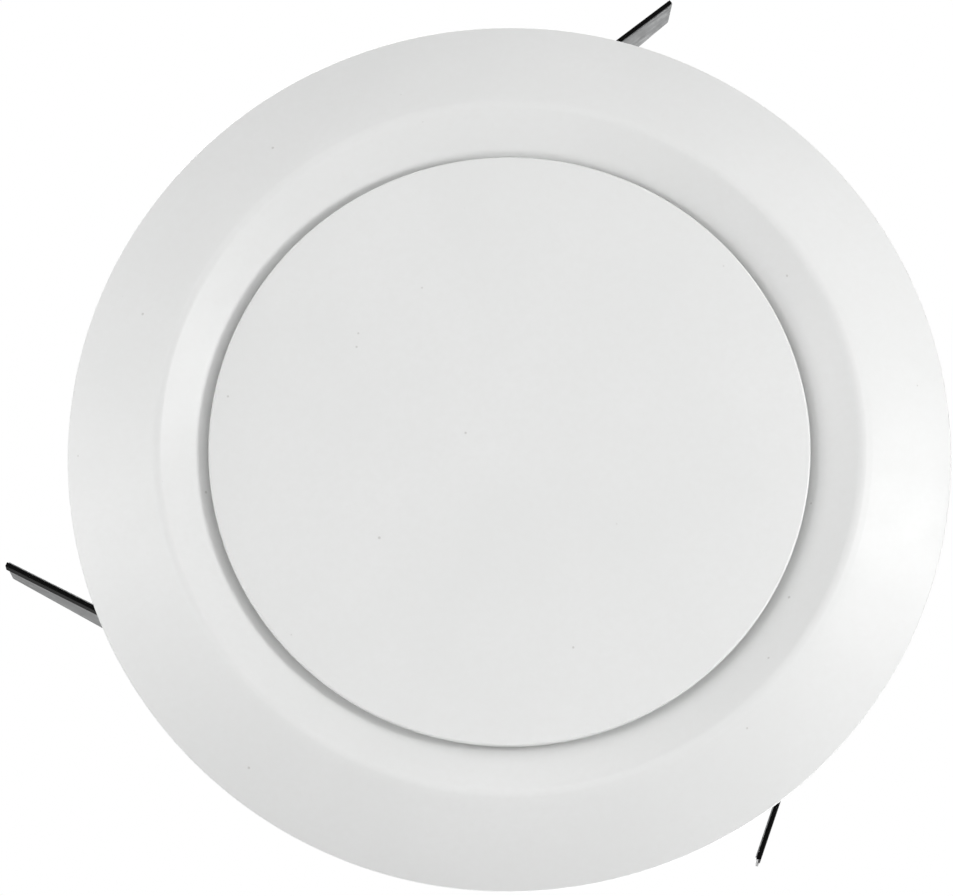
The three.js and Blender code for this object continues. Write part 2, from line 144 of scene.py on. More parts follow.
# The blade's lower edge, turned in, and how far that is sunk into the sheet.
HEM = {"out": 0.4 * MM, "high": 0.9 * MM, "short": 0.5 * MM, "sunk": 0.25 * MM}
STRIP = {"thick": 0.6 * MM, "gap": 0.06 * MM, "start": 8 * MM, "hem": 0.5 * MM}


# ---------------------------------------------------------------- materials


def node(tree, kind, inputs=None, **settings):
    made = tree.nodes.new(kind)
    for key, value in settings.items():
        setattr(made, key, value)
    for key, value in (inputs or {}).items():
        if isinstance(value, bpy.types.NodeSocket):
            tree.links.new(value, made.inputs[key])
        else:
            made.inputs[key].default_value = value
    return made


def start(name, metallic, colour):
    """A material with its node tree, its shader and the piece's own coordinates."""
    material = bpy.data.materials.new(name)
    material.use_nodes = True
    material.diffuse_color = (*colour, 1)
    tree = material.node_tree
    shader = tree.nodes["Principled BSDF"]
    shader.inputs["Metallic"].default_value = metallic
    coords = node(tree, "ShaderNodeTexCoord").outputs["Object"]
    return material, tree, shader, coords


def noise(tree, coords, scale, detail=2.0, roughness=0.5):
    made = node(tree, "ShaderNodeTexNoise", {
        "Vector": coords, "Scale": scale, "Detail": detail, "Roughness": roughness})
    return made.outputs["Fac"]


def remap(tree, value, source, target):
    made = node(tree, "ShaderNodeMapRange", {
        "Value": value, "From Min": source[0], "From Max": source[1],
        "To Min": target[0], "To Max": target[1]})
    return made.outputs["Result"]


def maths(tree, operation, first, second):
    made = node(tree, "ShaderNodeMath", {0: first, 1: second}, operation=operation)
    return made.outputs["Value"]


def blend(tree, share, first, second):
    """Colour first where share is 0, and second where it is 1."""
    made = node(tree, "ShaderNodeMix", {0: share, 6: first, 7: second}, data_type="RGBA")
    return made.outputs[2]


def bump(tree, shader, height, strength, distance):
    made = node(tree, "ShaderNodeBump", {"Height": height, "Strength": strength, "Distance": distance})
    tree.links.new(made.outputs["Normal"], shader.inputs["Normal"])


def stretched(tree, coords, scale, turn=(0, 0, 0)):
    made = node(tree, "ShaderNodeMapping", {"Vector": coords, "Scale": scale, "Rotation": turn})
    return made.outputs["Vector"]


def spots(tree, coords, scale, size, rarity):
    """1 inside small round spots, in the few cells whose random value is above rarity."""
    cells = node(tree, "ShaderNodeTexVoronoi", {"Vector": coords, "Scale": scale, "Randomness": 1.0})
    near = remap(tree, cells.outputs["Distance"], (size, size * 1.6), (1, 0))
    chosen = node(tree, "ShaderNodeSeparateColor", {"Color": cells.outputs["Color"]}).outputs["Red"]
    rare = maths(tree, "GREATER_THAN", chosen, rarity)
    return maths(tree, "MULTIPLY", near, rare)


def scratches(tree, coords, turn, scale, width):
    """1 along sparse hairlines that run one way."""
    lines = noise(tree, stretched(tree, coords, scale, turn), 1.0, 3.0, 0.6)
    off = maths(tree, "ABSOLUTE", maths(tree, "SUBTRACT", lines, 0.5), 0.0)
    hair = remap(tree, off, (0.0, width), (1, 0))
    patch = remap(tree, noise(tree, coords, 35.0), (0.58, 0.68), (0, 1))
    return maths(tree, "MULTIPLY", hair, patch)


def white_abs():
    colour = (0.83, 0.835, 0.83)
    material, tree, shader, coords = start("white_abs", 0.0, colour)
    cloud = remap(tree, noise(tree, coords, 16.0, 3.0), (0.3, 0.7), (0, 1))
    tone = blend(tree, cloud, (0.815, 0.821, 0.815, 1), (0.842, 0.846, 0.842, 1))
    fine = remap(tree, noise(tree, coords, 420.0, 4.0, 0.65), (0.35, 0.65), (0, 1))
    tone = blend(tree, maths(tree, "MULTIPLY", fine, 0.35), tone, (0.80, 0.80, 0.79, 1))
    dust = spots(tree, coords, 150.0, 0.05, 0.9)
    tone = blend(tree, maths(tree, "MULTIPLY", dust, 0.45), tone, (0.42, 0.41, 0.39, 1))
    marks = scratches(tree, coords, (0, 0, 0.5), (30.0, 1400.0, 400.0), 0.012)
    tone = blend(tree, maths(tree, "MULTIPLY", marks, 0.10), tone, (0.93, 0.93, 0.93, 1))
    tree.links.new(tone, shader.inputs["Base Color"])
    gloss = remap(tree, noise(tree, coords, 60.0, 3.0), (0.3, 0.7), (0.40, 0.50))
    tree.links.new(gloss, shader.inputs["Roughness"])
    grain = noise(tree, coords, 1500.0, 3.0, 0.6)
    wave = noise(tree, coords, 28.0, 1.0)
    height = maths(tree, "ADD", maths(tree, "MULTIPLY", grain, 0.02), maths(tree, "MULTIPLY", wave, 0.6))
    height = maths(tree, "SUBTRACT", height, maths(tree, "MULTIPLY", marks, 0.02))
    bump(tree, shader, height, 0.35, 0.0004)
    return material


def galvanised():
    colour = (0.40, 0.405, 0.41)
    material, tree, shader, coords = start("galvanised", 0.92, colour)
    warp = noise(tree, coords, 90.0, 2.0)
    drift = node(tree, "ShaderNodeTexNoise", {"Vector": coords, "Scale": 160.0}).outputs["Color"]
    warped = node(tree, "ShaderNodeMix", {0: 0.06, 4: coords, 5: drift}, data_type="VECTOR").outputs[1]
    cells = node(tree, "ShaderNodeTexVoronoi", {"Vector": warped, "Scale": 170.0})
    crystal = node(tree, "ShaderNodeSeparateColor", {"Color": cells.outputs["Color"]}).outputs["Green"]
    tone = blend(tree, crystal, (0.36, 0.366, 0.366, 1), (0.52, 0.526, 0.526, 1))
    streaks = noise(tree, stretched(tree, coords, (18.0, 18.0, 420.0)), 1.0, 4.0, 0.6)
    tone = blend(tree, remap(tree, streaks, (0.35, 0.65), (0, 0.7)), tone, (0.27, 0.273, 0.278, 1))
    dull = remap(tree, warp, (0.45, 0.75), (0, 0.5))
    tone = blend(tree, dull, tone, (0.32, 0.323, 0.328, 1))
    tree.links.new(tone, shader.inputs["Base Color"])
    tree.links.new(remap(tree, crystal, (0, 1), (0.34, 0.52)), shader.inputs["Roughness"])
    rolled = noise(tree, stretched(tree, coords, (40.0, 40.0, 2500.0)), 1.0, 3.0)
    height = maths(tree, "ADD", rolled, maths(tree, "MULTIPLY", crystal, 0.6))
    bump(tree, shader, height, 0.25, 0.00006)
    return material


def zinc_plated():
    colour = (0.62, 0.61, 0.57)
    material, tree, shader, coords = start("zinc_plated", 1.0, colour)
    cloud = remap(tree, noise(tree, coords, 350.0, 3.0), (0.3, 0.7), (0, 1))
    tone = blend(tree, cloud, (0.56, 0.55, 0.52, 1), (0.66, 0.655, 0.63, 1))
    tarnish = remap(tree, noise(tree, coords, 120.0, 4.0), (0.55, 0.75), (0, 0.5))
    tone = blend(tree, tarnish, tone, (0.50, 0.47, 0.40, 1))
    tree.links.new(tone, shader.inputs["Base Color"])
    tree.links.new(remap(tree, cloud, (0, 1), (0.22, 0.38)), shader.inputs["Roughness"])
    bump(tree, shader, noise(tree, coords, 2600.0, 3.0), 0.2, 0.00003)
    return material


def spring_steel():
    colour = (0.32, 0.33, 0.35)
    material, tree, shader, coords = start("spring_steel", 1.0, colour)
    drawn = noise(tree, stretched(tree, coords, (900.0, 900.0, 3800.0)), 1.0, 3.0)
    share = remap(tree, drawn, (0.35, 0.65), (0, 1))
    tone = blend(tree, share, (0.27, 0.28, 0.30, 1), (0.38, 0.39, 0.41, 1))
    tree.links.new(tone, shader.inputs["Base Color"])
    tree.links.new(remap(tree, drawn, (0.3, 0.7), (0.26, 0.42)), shader.inputs["Roughness"])
    bump(tree, shader, drawn, 0.2, 0.00003)
    return material


def grey_nylon():
    colour = (0.50, 0.51, 0.505)
    material, tree, shader, coords = start("grey_nylon", 0.0, colour)
    cloud = remap(tree, noise(tree, coords, 70.0, 4.0), (0.3, 0.7), (0, 1))
    tone = blend(tree, cloud, (0.47, 0.48, 0.475, 1), (0.53, 0.54, 0.535, 1))
    tree.links.new(tone, shader.inputs["Base Color"])
    gloss = remap(tree, noise(tree, coords, 300.0), (0.3, 0.7), (0.45, 0.6))
    tree.links.new(gloss, shader.inputs["Roughness"])
    bump(tree, shader, noise(tree, coords, 1900.0, 3.0), 0.3, 0.00006)
    return material


def black_rubber():
    """Black edging, with a painted highlight as a lighter grey band along its upper edge, and chipped near
    its ends.
    """
    colour = (0.004, 0.004, 0.004)
    material, tree, shader, coords = start("black_rubber", 0.0, colour)
    worn = remap(tree, noise(tree, coords, 260.0, 5.0, 0.7), (0.6, 0.72), (0, 1))
    tone = blend(tree, worn, (0.0015, 0.0015, 0.0015, 1), (0.01, 0.01, 0.01, 1))
    height = node(tree, "ShaderNodeSeparateXYZ", {"Vector": coords}).outputs["Z"]
    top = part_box("arm_edge_strip_1")[1].z
    # Painted highlight: a lighter grey band just under the strip's upper edge, for the light that edge
    # catches.
    painted_edge_highlight = remap(tree, height, (top - 0.45 * MM, top - 0.25 * MM), (0, 1))
    tone = blend(tree, painted_edge_highlight, tone, (0.30, 0.30, 0.295, 1))
    chips = spots(tree, coords, 140.0, 0.08, 0.9)
    tone = blend(tree, chips, tone, (0.20, 0.20, 0.195, 1))
    tree.links.new(tone, shader.inputs["Base Color"])
    shader.inputs["Specular IOR Level"].default_value = 0.08
    tree.links.new(remap(tree, worn, (0, 1), (0.55, 0.8)), shader.inputs["Roughness"])
    bump(tree, shader, noise(tree, coords, 1800.0, 4.0), 0.4, 0.0001)
    return material


def foam():
    colour = (0.05, 0.052, 0.055)
    material, tree, shader, coords = start("foam", 0.0, colour)
    cells = node(tree, "ShaderNodeTexVoronoi", {"Vector": coords, "Scale": 1300.0}).outputs["Distance"]
    tone = blend(tree, cells, (0.022, 0.023, 0.025, 1), (0.085, 0.087, 0.09, 1))
    tree.links.new(tone, shader.inputs["Base Color"])
    tree.links.new(remap(tree, cells, (0, 1), (0.85, 1.0)), shader.inputs["Roughness"])
    bump(tree, shader, cells, 0.7, 0.0003)
    return material


FINISH = {
    "white_abs": white_abs(),
    "galvanised": galvanised(),
    "zinc_plated": zinc_plated(),
    "spring_steel": spring_steel(),
    "grey_nylon": grey_nylon(),
    "black_rubber": black_rubber(),
    "foam": foam(),
}


# ---------------------------------------------------------------- shape helpers


def rounded(corners, steps=ARC_STEPS):
    """The closed outline through (x, y, radius) corners, with an arc at each that has a radius."""
    outline = []
    for i, (x, y, radius) in enumerate(corners):
        here = Vector((x, y))
        before = Vector(corners[i - 1][:2]) - here
        after = Vector(corners[(i + 1) % len(corners)][:2]) - here
        half = before.angle(after) / 2
        if radius == 0 or half > math.radians(89):
            outline.append((x, y))
            continue
        reach = min(radius / math.tan(half), 0.49 * before.length, 0.49 * after.length)
        true_radius = reach * math.tan(half)
        middle = (before.normalized() + after.normalized()).normalized()
        centre = here + middle * (true_radius / math.sin(half))
        first = here + before.normalized() * reach - centre
        last = here + after.normalized() * reach - centre
        turn = first.angle(last)
        for k in range(steps + 1):
            t = k / steps
            spoke = (first * math.sin((1 - t) * turn) + last * math.sin(t * turn)) / math.sin(turn)
            outline.append(tuple(centre + spoke))
    return outline


def at(value, angle):
    """A size that may be a function of the angle."""
    return value(angle) if callable(value) else value


def turned(rows, steps):
    """A closed skin through rings of (radius, z), each a number or a function of the angle.

    Radius 0 is a pole.
    """
    shape = bmesh.new()
    rings = []
    for radius, z in rows:
        count = 1 if radius == 0 else steps
        angles = [math.tau * k / steps for k in range(count)]
        rings.append([
            shape.verts.new((at(radius, a) * math.cos(a), at(radius, a) * math.sin(a), at(z, a)))
            for a in angles])
    for one, two in zip(rings, rings[1:] + rings[:1]):
        if len(one) == 1 and len(two) == 1:
            continue
        for k in range(steps):
            n = (k + 1) % steps
            quad = (one[k % len(one)], one[n % len(one)], two[n % len(two)], two[k % len(two)])
            shape.faces.new(list(dict.fromkeys(quad)))
    bmesh.ops.recalc_face_normals(shape, faces=shape.faces)
    return shape


def slab(outline, low, high, bevel=0.0):
    """A flat outline between two heights, with its rims bevelled."""
    shape = bmesh.new()
    under = [shape.verts.new((x, y, low)) for x, y in outline]
    over = [shape.verts.new((x, y, high)) for x, y in outline]
    shape.faces.new(under)
    shape.faces.new(over)
    for k in range(len(outline)):
        n = (k + 1) % len(outline)
        shape.faces.new((under[k], under[n], over[n], over[k]))
    bmesh.ops.recalc_face_normals(shape, faces=shape.faces)
    if bevel:
        rims = [e for e in shape.edges if abs(e.verts[0].co.z - e.verts[1].co.z) < 1e-9]
        bmesh.ops.bevel(shape, geom=rims, offset=bevel, segments=3, profile=0.5, affect="EDGES")
    return shape


def box_outline(x, y, radius=0.0):
    return rounded([(x[0], y[0], radius), (x[1], y[0], radius), (x[1], y[1], radius), (x[0], y[1], radius)])


def polygon(corners, radius, turn=0.0):
    return [
        (radius * math.cos(turn + math.tau * k / corners), radius * math.sin(turn + math.tau * k / corners))
        for k in range(corners)]


def rod(radius, low, high, steps=ROD_STEPS, edge=0.0):
    rows = rounded([(0, low, 0), (radius, low, edge), (radius, high, edge), (0, high, 0)], 3)
    return turned(rows, steps)


def hole(low, high, radius=HOLE_RADIUS):
    """A plain cutting rod that runs past both heights."""
    return rod(radius, low - PAST, high + PAST, HOLE_STEPS)


def tube(inner, outer, low, high, steps=HUB_STEPS, edge=0.25 * MM):
    rows = rounded([(inner, low, edge), (outer, low, edge), (outer, high, edge), (inner, high, edge)], 3)
    return turned(rows, steps)


UPRIGHT = Matrix.Rotation(math.pi / 2, 4, "X")  # stands a slab on edge, along X


def moved(shape, matrix):
    bmesh.ops.transform(shape, matrix=matrix, verts=shape.verts)
    return shape


def around(shape, degrees, radius=0.0):
    """The shape moved out along X and turned about Z."""
    return moved(shape, Matrix.Rotation(math.radians(degrees), 4, "Z") @ Matrix.Translation((radius, 0, 0)))


def together(shapes):
    """Several shapes as the islands of one."""
    whole = bmesh.new()
    for shape in shapes:
        mesh = bpy.data.meshes.new("island")
        shape.to_mesh(mesh)
        shape.free()
        whole.from_mesh(mesh)
        bpy.data.meshes.remove(mesh)
    return whole


def scratch_object(shape):
    mesh = bpy.data.meshes.new("scratch")
    shape.to_mesh(mesh)
    shape.free()
    made = bpy.data.objects.new("scratch", mesh)
    bpy.context.scene.collection.objects.link(made)
    return made


def combined(body, tool, operation):
    """The body with the tool joined on, cut away or kept in common."""
    target, other = scratch_object(body), scratch_object(tool)
    modifier = target.modifiers.new("combine", "BOOLEAN")
    modifier.operation = operation
    modifier.solver = "EXACT"
    modifier.object = other
    graph = bpy.context.evaluated_depsgraph_get()
    mesh = bpy.data.meshes.new_from_object(target.evaluated_get(graph))
    result = bmesh.new()
    result.from_mesh(mesh)
    for made in (target, other):
        old = made.data
        bpy.data.objects.remove(made)
        bpy.data.meshes.remove(old)
    bpy.data.meshes.remove(mesh)
    bmesh.ops.dissolve_degenerate(result, dist=1e-7, edges=result.edges)
    return result


def joined(body, tool):
    return combined(body, tool, "UNION")


def cut(body, tool):
    return combined(body, tool, "DIFFERENCE")


def show(name, shape, even=True):
    """Makes the shape the visible piece for a CAD node, with its body, slot and finish."""
    mesh = bpy.data.meshes.new(f"{name}_fine")
    shape.to_mesh(mesh)
    shape.free()
    mesh.materials.append(FINISH[SLOT_OF[name]])
    mesh.polygons.foreach_set("use_smooth", [True] * len(mesh.polygons))
    mesh.set_sharp_from_angle(angle=SMOOTH_BELOW)
    piece = bpy.data.objects.new(f"{name}_fine", mesh)
    bpy.context.scene.collection.objects.link(piece)
    if even:
        normals = piece.modifiers.new("even_normals", "WEIGHTED_NORMAL")
        normals.keep_sharp = True
        normals.weight = 80
    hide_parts(name)
    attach(piece, BODY_OF[name])
    return piece


def thread_rows(radius, depth, pitch, starts, low, high, per_pitch):
    """Rings for a right-handed thread whose crests run out at both ends."""
    count = math.ceil((high - low) / pitch * per_pitch)
    rows = []
    for k in range(count + 1):
        z = low + (high - low) * k / count
        fade = 1 - min(1, (z - low) / pitch, (high - z) / pitch)

        def ring(angle, z=z, fade=fade):
            groove = 0.5 - 0.5 * math.cos(math.tau * (z / pitch - starts * angle / math.tau))
            return radius - depth * max(groove, fade)

        rows.append((ring, z))
    return rows


def cross_cut(half, width, low, high):
    """The tapered cross of a screwdriver recess, wide at high."""
    shape = bmesh.new()
    plus = [(half, width), (width, width), (width, half), (-width, half), (-width, width),
            (-half, width), (-half, -width), (-width, -width), (-width, -half), (width, -half),
            (width, -width), (half, -width)]
    taper = 0.55
    wide = [shape.verts.new((x, y, high)) for x, y in plus]
    narrow = [shape.verts.new((x * taper, y * taper, low)) for x, y in plus]
    shape.faces.new(wide)
    shape.faces.new(narrow)
    for k in range(len(plus)):
        n = (k + 1) % len(plus)
        shape.faces.new((wide[k], wide[n], narrow[n], narrow[k]))
    bmesh.ops.recalc_face_normals(shape, faces=shape.faces)
    return shape


def pan_screw(radius, pitch, tip, seat, head, crown):
    """A screw with its point at tip, its head above seat and a cross recess in its crown."""
    depth = THREAD_DEPTH * pitch
    rows = [(0, tip), (radius - depth, tip)]
    rows += thread_rows(radius, depth, pitch, 1, tip + 0.1 * MM, seat - 0.15 * MM, per_pitch=8)
    rows += [(radius, seat)]
    edge = 0.45 * (crown - seat)
    cap = [(radius, seat, 0), (head, seat, 0.15 * MM), (head, crown - edge, edge), (0, crown, 0)]
    rows += rounded(cap)[1:-1]
    rows += [(0, crown)]
    screw = turned(rows, SCREW_STEPS)
    return cut(screw, cross_cut(head * 0.55, head * 0.13, crown - 0.55 * (crown - seat), crown + 0.2 * MM))


def copied(mesh, matrix):
    shape = bmesh.new()
    shape.from_mesh(mesh)
    return moved(shape, matrix)


def template(shape):
    mesh = bpy.data.meshes.new("template")
    shape.to_mesh(mesh)
    shape.free()
    return mesh


def countersunk(bore, low, high, lead):
    """A cutting shape for a bore that opens out at both ends."""
    wide = bore + lead + PAST
    return turned([(0, low - PAST), (wide, low - PAST), (bore, low + lead), (bore, high - lead),
                   (wide, high + PAST), (0, high + PAST)], ROD_STEPS)


def hex_nut(radius, bore, low, high, turn):
    """A hexagon with its corners chamfered on both faces and a bore through it."""
    flat = radius * math.cos(math.pi / 6)
    dip = (radius - flat) * 0.6
    chamfers = [(0, low), (flat, low), (radius, low + dip), (radius, high - dip), (flat, high), (0, high)]
    limit = turned(chamfers, NUT_STEPS)
    body = combined(slab(polygon(6, radius, turn), low, high), limit, "INTERSECT")
    return cut(body, countersunk(bore, low, high, 0.35 * MM))


# ---------------------------------------------------------------- face ring and gasket


def pivots():
    """The number, centre and angle of each clamp, from its arm's joint."""
    for n in (1, 2, 3):
        x, y, _ = JOINTS[f"arm_swing_{n}"]["pos_m"]
        yield n, Vector((x, y, 0)), math.degrees(math.atan2(y, x))


PIVOT_ANGLES = [angle for _, _, angle in pivots()]
RIVET_ANGLES = [a + side for a in PIVOT_ANGLES for side in (-RIVET_SPREAD, RIVET_SPREAD)]


def cone_point(t):
    r = CONE_START[0] + (CONE_END[0] - CONE_START[0]) * t
    z = CONE_START[1] + (CONE_END[1] - CONE_START[1]) * t
    return r, z - CONE_BULGE * 4 * t * (1 - t)


def behind_cone(t, radius=0.8 * MM):
    r, z = cone_point(t)
    return r, z + CONE_RISE, radius


def face_ring():
    front = [(*cone_point(k / CONE_STEPS), 0) for k in range(1, CONE_STEPS)]
    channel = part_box("ceiling_gasket")[1].x - 5.8 * MM
    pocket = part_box("ceiling_gasket")[0].z - GAP
    section = rounded([
        (RIM_RADIUS, RIM_BACK, 0.25 * MM),
        (RIM_RADIUS, RIM_CORNER, 0.9 * MM),
        *front,
        (*CONE_END, 0),
        (CONE_END[0], SHELF["low"], 0.8 * MM),
        (SHELF["inner"], SHELF["low"], 0.4 * MM),
        (SHELF["inner"], SHELF["high"], 0.4 * MM),
        (SHELF["wall"], SHELF["high"], 0.5 * MM),
        behind_cone(CONE_BACK[0]),
        behind_cone(CONE_BACK[1], 6 * MM),
        behind_cone(CONE_BACK[2]),
        (channel, pocket, 0.3 * MM),
        (GASKET_RADIUS + GAP, pocket, 0.5 * MM),
        (GASKET_RADIUS + GAP, RIM_BACK, 0.25 * MM),
    ])
    ring = turned(section, RING_STEPS)
    boss_top = SHELF["high"] + BOSS["high"]
    bosses = [around(rod(BOSS["r"], SHELF["low"] + GAP, boss_top, edge=0.5 * MM), a, PIVOT_RING)
              for a in PIVOT_ANGLES]
    ring = joined(ring, together(bosses))
    cuts = [around(rod(CLEAR_M4, SHELF["low"] - PAST, boss_top + PAST), a, PIVOT_RING)
            for a in PIVOT_ANGLES]
    cuts += [around(hole(SHELF["low"], SHELF["high"]), a, RIVET_RING) for a in RIVET_ANGLES]
    ring = cut(ring, together(cuts))
    pockets = [around(rod(POCKET["r"], POCKET["low"], SHELF["low"]), a, PIVOT_RING)
               for a in PIVOT_ANGLES]
    return cut(ring, together(pockets))


def ceiling_gasket():
    low, high = (corner.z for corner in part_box("ceiling_gasket"))
    inner = GASKET_RADIUS - 5.5 * MM

    def top(angle):
        return high - 0.12 * MM * (1 + math.sin(37 * angle) * math.sin(11 * angle))

    rows = rounded([(inner, low, 0.3 * MM), (GASKET_RADIUS, low, 0.3 * MM),
                    (GASKET_RADIUS, high - 0.25 * MM, 0.6 * MM), (inner, high - 0.25 * MM, 0.6 * MM)])
    middle = (low + high) / 2
    rows = [(r, z if z < middle else (lambda a, z=z: z + top(a) - high)) for r, z in rows]
    ring = turned(rows, RING_STEPS)
    slit = box_outline((inner - PAST, GASKET_RADIUS + PAST), (-0.2 * MM, 0.2 * MM))
    return cut(ring, around(slab(slit, low - PAST, high + PAST), -60))


# ---------------------------------------------------------------- duct collar and its rivets


def duct_collar():
    low, high = (corner.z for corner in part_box("duct_collar"))
    outer, wall = COLLAR["outer"], COLLAR["wall"]
    inner = outer - wall

    def bead(radius):
        steps = 8
        points = []
        for k in range(steps + 1):
            w = k / steps * 2 - 1
            out = BEAD["rise"] * (0.5 + 0.5 * math.cos(math.pi * w))
            points.append((radius + out, BEAD["z"] + BEAD["half"] * w, 0))
        return points

    section = rounded([
        (inner, low, 2.4 * MM),
        (COLLAR_FOOT, low, 0.2 * MM),
        (COLLAR_FOOT, low + wall, 0.2 * MM),
        (outer, low + wall, 1.2 * MM),
        *bead(outer),
        (outer, high, 0.2 * MM),
        (inner, high, 0.2 * MM),
        *reversed(bead(inner)),
    ])
    shell = turned(section, RING_STEPS)
    width = LAP["width"] / 2
    lap = slab(box_outline((outer - 0.6 * MM, outer + LAP["thick"]), (-width, width), 0.2 * MM),
               low + wall + 1.5 * MM, BEAD["z"] - BEAD["half"] - PAST, 0.15 * MM)
    shell = joined(shell, around(lap, LAP["angle"]))
    welds = []
    for k in range(LAP["welds"]):
        z = low + (BEAD["z"] - low) * (k + 1) / (LAP["welds"] + 1)
        dimple = rod(LAP["weld"], -0.25 * MM, 1 * MM, HOLE_STEPS, edge=0.2 * MM)
        spin = Matrix.Translation((outer + LAP["thick"], 0, z)) @ Matrix.Rotation(math.pi / 2, 4, "Y")
        welds.append(around(moved(dimple, spin), LAP["angle"]))
    half = SNAP["width"] / 2 + SNAP["room"]
    window = box_outline((inner - PAST, outer + 2 * PAST), (-half, half))
    cuts = [around(slab(window, SNAP["low"] - SNAP["room"], SNAP["high"] + SNAP["room"]), a)
            for a in SNAP_ANGLES]
    cuts += [around(hole(low, low + wall), a, RIVET_RING) for a in RIVET_ANGLES]
    return cut(shell, together(cuts + welds))


def rivet(name):
    low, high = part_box(name)
    radius, shank = 2.3 * MM, 1.5 * MM
    seat_low, seat_high = low.z + 1 * MM, high.z - 1 * MM
    section = [(0, low.z, 0), (radius * 0.62, low.z, 0.5 * MM), (radius * 0.95, seat_low, 0.1 * MM),
               (shank, seat_low, 0), (shank, seat_high, 0), (radius, seat_high, 0.1 * MM),
               (radius * 0.9, high.z, 0.7 * MM), (0.75 * MM, high.z, 0.15 * MM),
               (0.7 * MM, high.z - 1.4 * MM, 0), (0, high.z - 1.3 * MM, 0)]
    centre = (low + high) / 2
    return moved(turned(rounded(section, 4), ROD_STEPS), Matrix.Translation((centre.x, centre.y, 0)))


# ---------------------------------------------------------------- core ring and spider


def bell_back(r):
    """The height of the bell's back at a radius."""
    slope = (CREST[1] - BELL["z"]) / (CREST[0] - BELL["inner"])
    return BELL["z"] + slope * (r - BELL["inner"]) + BELL["rise"]


def core_ring():
    wall = SKIRT["outer"] - SKIRT["inner"]
    section = rounded([
        (*CONE_END, 0),
        (*CREST, CREST_ROUND),
        (BELL["inner"], BELL["z"], 0.7 * MM),
        (SEAT["inner"], BELL["z"], 0.6 * MM),
        (SEAT["inner"], SEAT["high"], 0.6 * MM),
        (SKIRT["inner"], SEAT["high"], 0.6 * MM),
        (SKIRT["inner"], SKIRT["top"], 0.35 * MM),
        (SKIRT["outer"], SKIRT["top"], 0.35 * MM),
        (SKIRT["outer"], bell_back(SKIRT["outer"]), 1 * MM),
        (CREST[0], CREST_BACK, 2 * MM),
        (CONE_END[0], CREST_BACK, 0.3 * MM),
    ], CREST_STEPS)
    ring = turned(section, RING_STEPS)
    half = LUG["width"] / 2
    lug = box_outline((LUG["inner"], SKIRT["inner"] + wall / 2), (-half, half), 1.5 * MM)
    lugs = [around(slab(lug, LUG["low"], LUG["high"], 0.3 * MM), a) for a in LUG_ANGLES]
    half = SNAP["width"] / 2
    ramp = [(SKIRT["outer"] - wall / 2, SNAP["low"]), (SNAP["outer"], SNAP["low"]),
            (SNAP["outer"], SNAP["low"] + 1 * MM), (SKIRT["outer"] - wall / 2, SNAP["high"])]
    snaps = [around(moved(slab(ramp, -half, half, 0.15 * MM), UPRIGHT), a) for a in SNAP_ANGLES]
    ring = joined(ring, together(lugs + snaps))
    holes = [around(hole(LUG["low"], LUG["high"]), a, CORE_SCREW_RING) for a in LUG_ANGLES]
    slot = box_outline((SKIRT["inner"] - PAST, SKIRT["outer"] + PAST), (half + 0.5 * MM, half + 1.5 * MM))
    mirrored = [(x, -y) for x, y in slot]
    slots = [around(slab(side, 5 * MM, SKIRT["top"] + PAST), a)
             for side in (slot, mirrored) for a in SNAP_ANGLES]
    return cut(ring, together(holes + slots))


def core_spider():
    low, high = (corner.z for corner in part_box("core_spider"))
    outer, bore = 12 * MM, 8.3 * MM
    foot_high = 15 * MM
    arm_low = 6 * MM
    hub = tube(bore, outer, low, high, edge=0.6 * MM)
    root, tip, reach = bore + 1.5 * MM, 86 * MM, 94.8 * MM
    side = rounded([(root, arm_low, 0), (60 * MM, arm_low + 2 * MM, 60 * MM), (tip, 11.5 * MM, 1 * MM),
                    (tip, foot_high, 0.3 * MM), (root, foot_high, 0)])
    arms = [around(moved(slab(side, -1.5 * MM, 1.5 * MM, 0.4 * MM), UPRIGHT), a) for a in LUG_ANGLES]
    foot = box_outline((84 * MM, reach), (-6 * MM, 6 * MM), 2 * MM)
    foot_low = foot_high - 3 * MM
    feet = [around(slab(foot, foot_low, foot_high, 0.5 * MM), a) for a in LUG_ANGLES]
    body = joined(hub, together(arms))
    body = joined(body, together(feet))
    holes = [around(hole(foot_low, foot_high), a, CORE_SCREW_RING) for a in LUG_ANGLES]
    return cut(body, together(holes))


def screw_pieces(names, radius, pitch, head, tip, seat, crown, places):
    """One screw shape shown at each of the places."""
    mesh = template(pan_screw(radius, pitch, tip, seat, head, crown))
    for name, place in zip(names, places):
        show(name, copied(mesh, place))
    bpy.data.meshes.remove(mesh)


def centre_of(name):
    low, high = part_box(name)
    return (low + high) / 2


def small_screws():
    spider = [f"spider_screw_{n}" for n in (1, 2, 3, 4)]
    low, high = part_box(spider[0])
    places = [Matrix.Translation((centre_of(n).x, centre_of(n).y, 0)) for n in spider]
    screw_pieces(spider, 1.5 * MM, 1.1 * MM, 3 * MM, low.z, high.z - 2.2 * MM, high.z, places)
    plate = [f"plate_screw_{n}" for n in (1, 2, 3)]
    low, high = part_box(plate[0])
    places = [Matrix.Translation((centre_of(n).x, centre_of(n).y, 0)) for n in plate]
    screw_pieces(plate, 1.4 * MM, 1.0 * MM, 2.9 * MM, low.z, high.z - 1.8 * MM, high.z, places)


# ---------------------------------------------------------------- spindle, bush, spring and stop nut


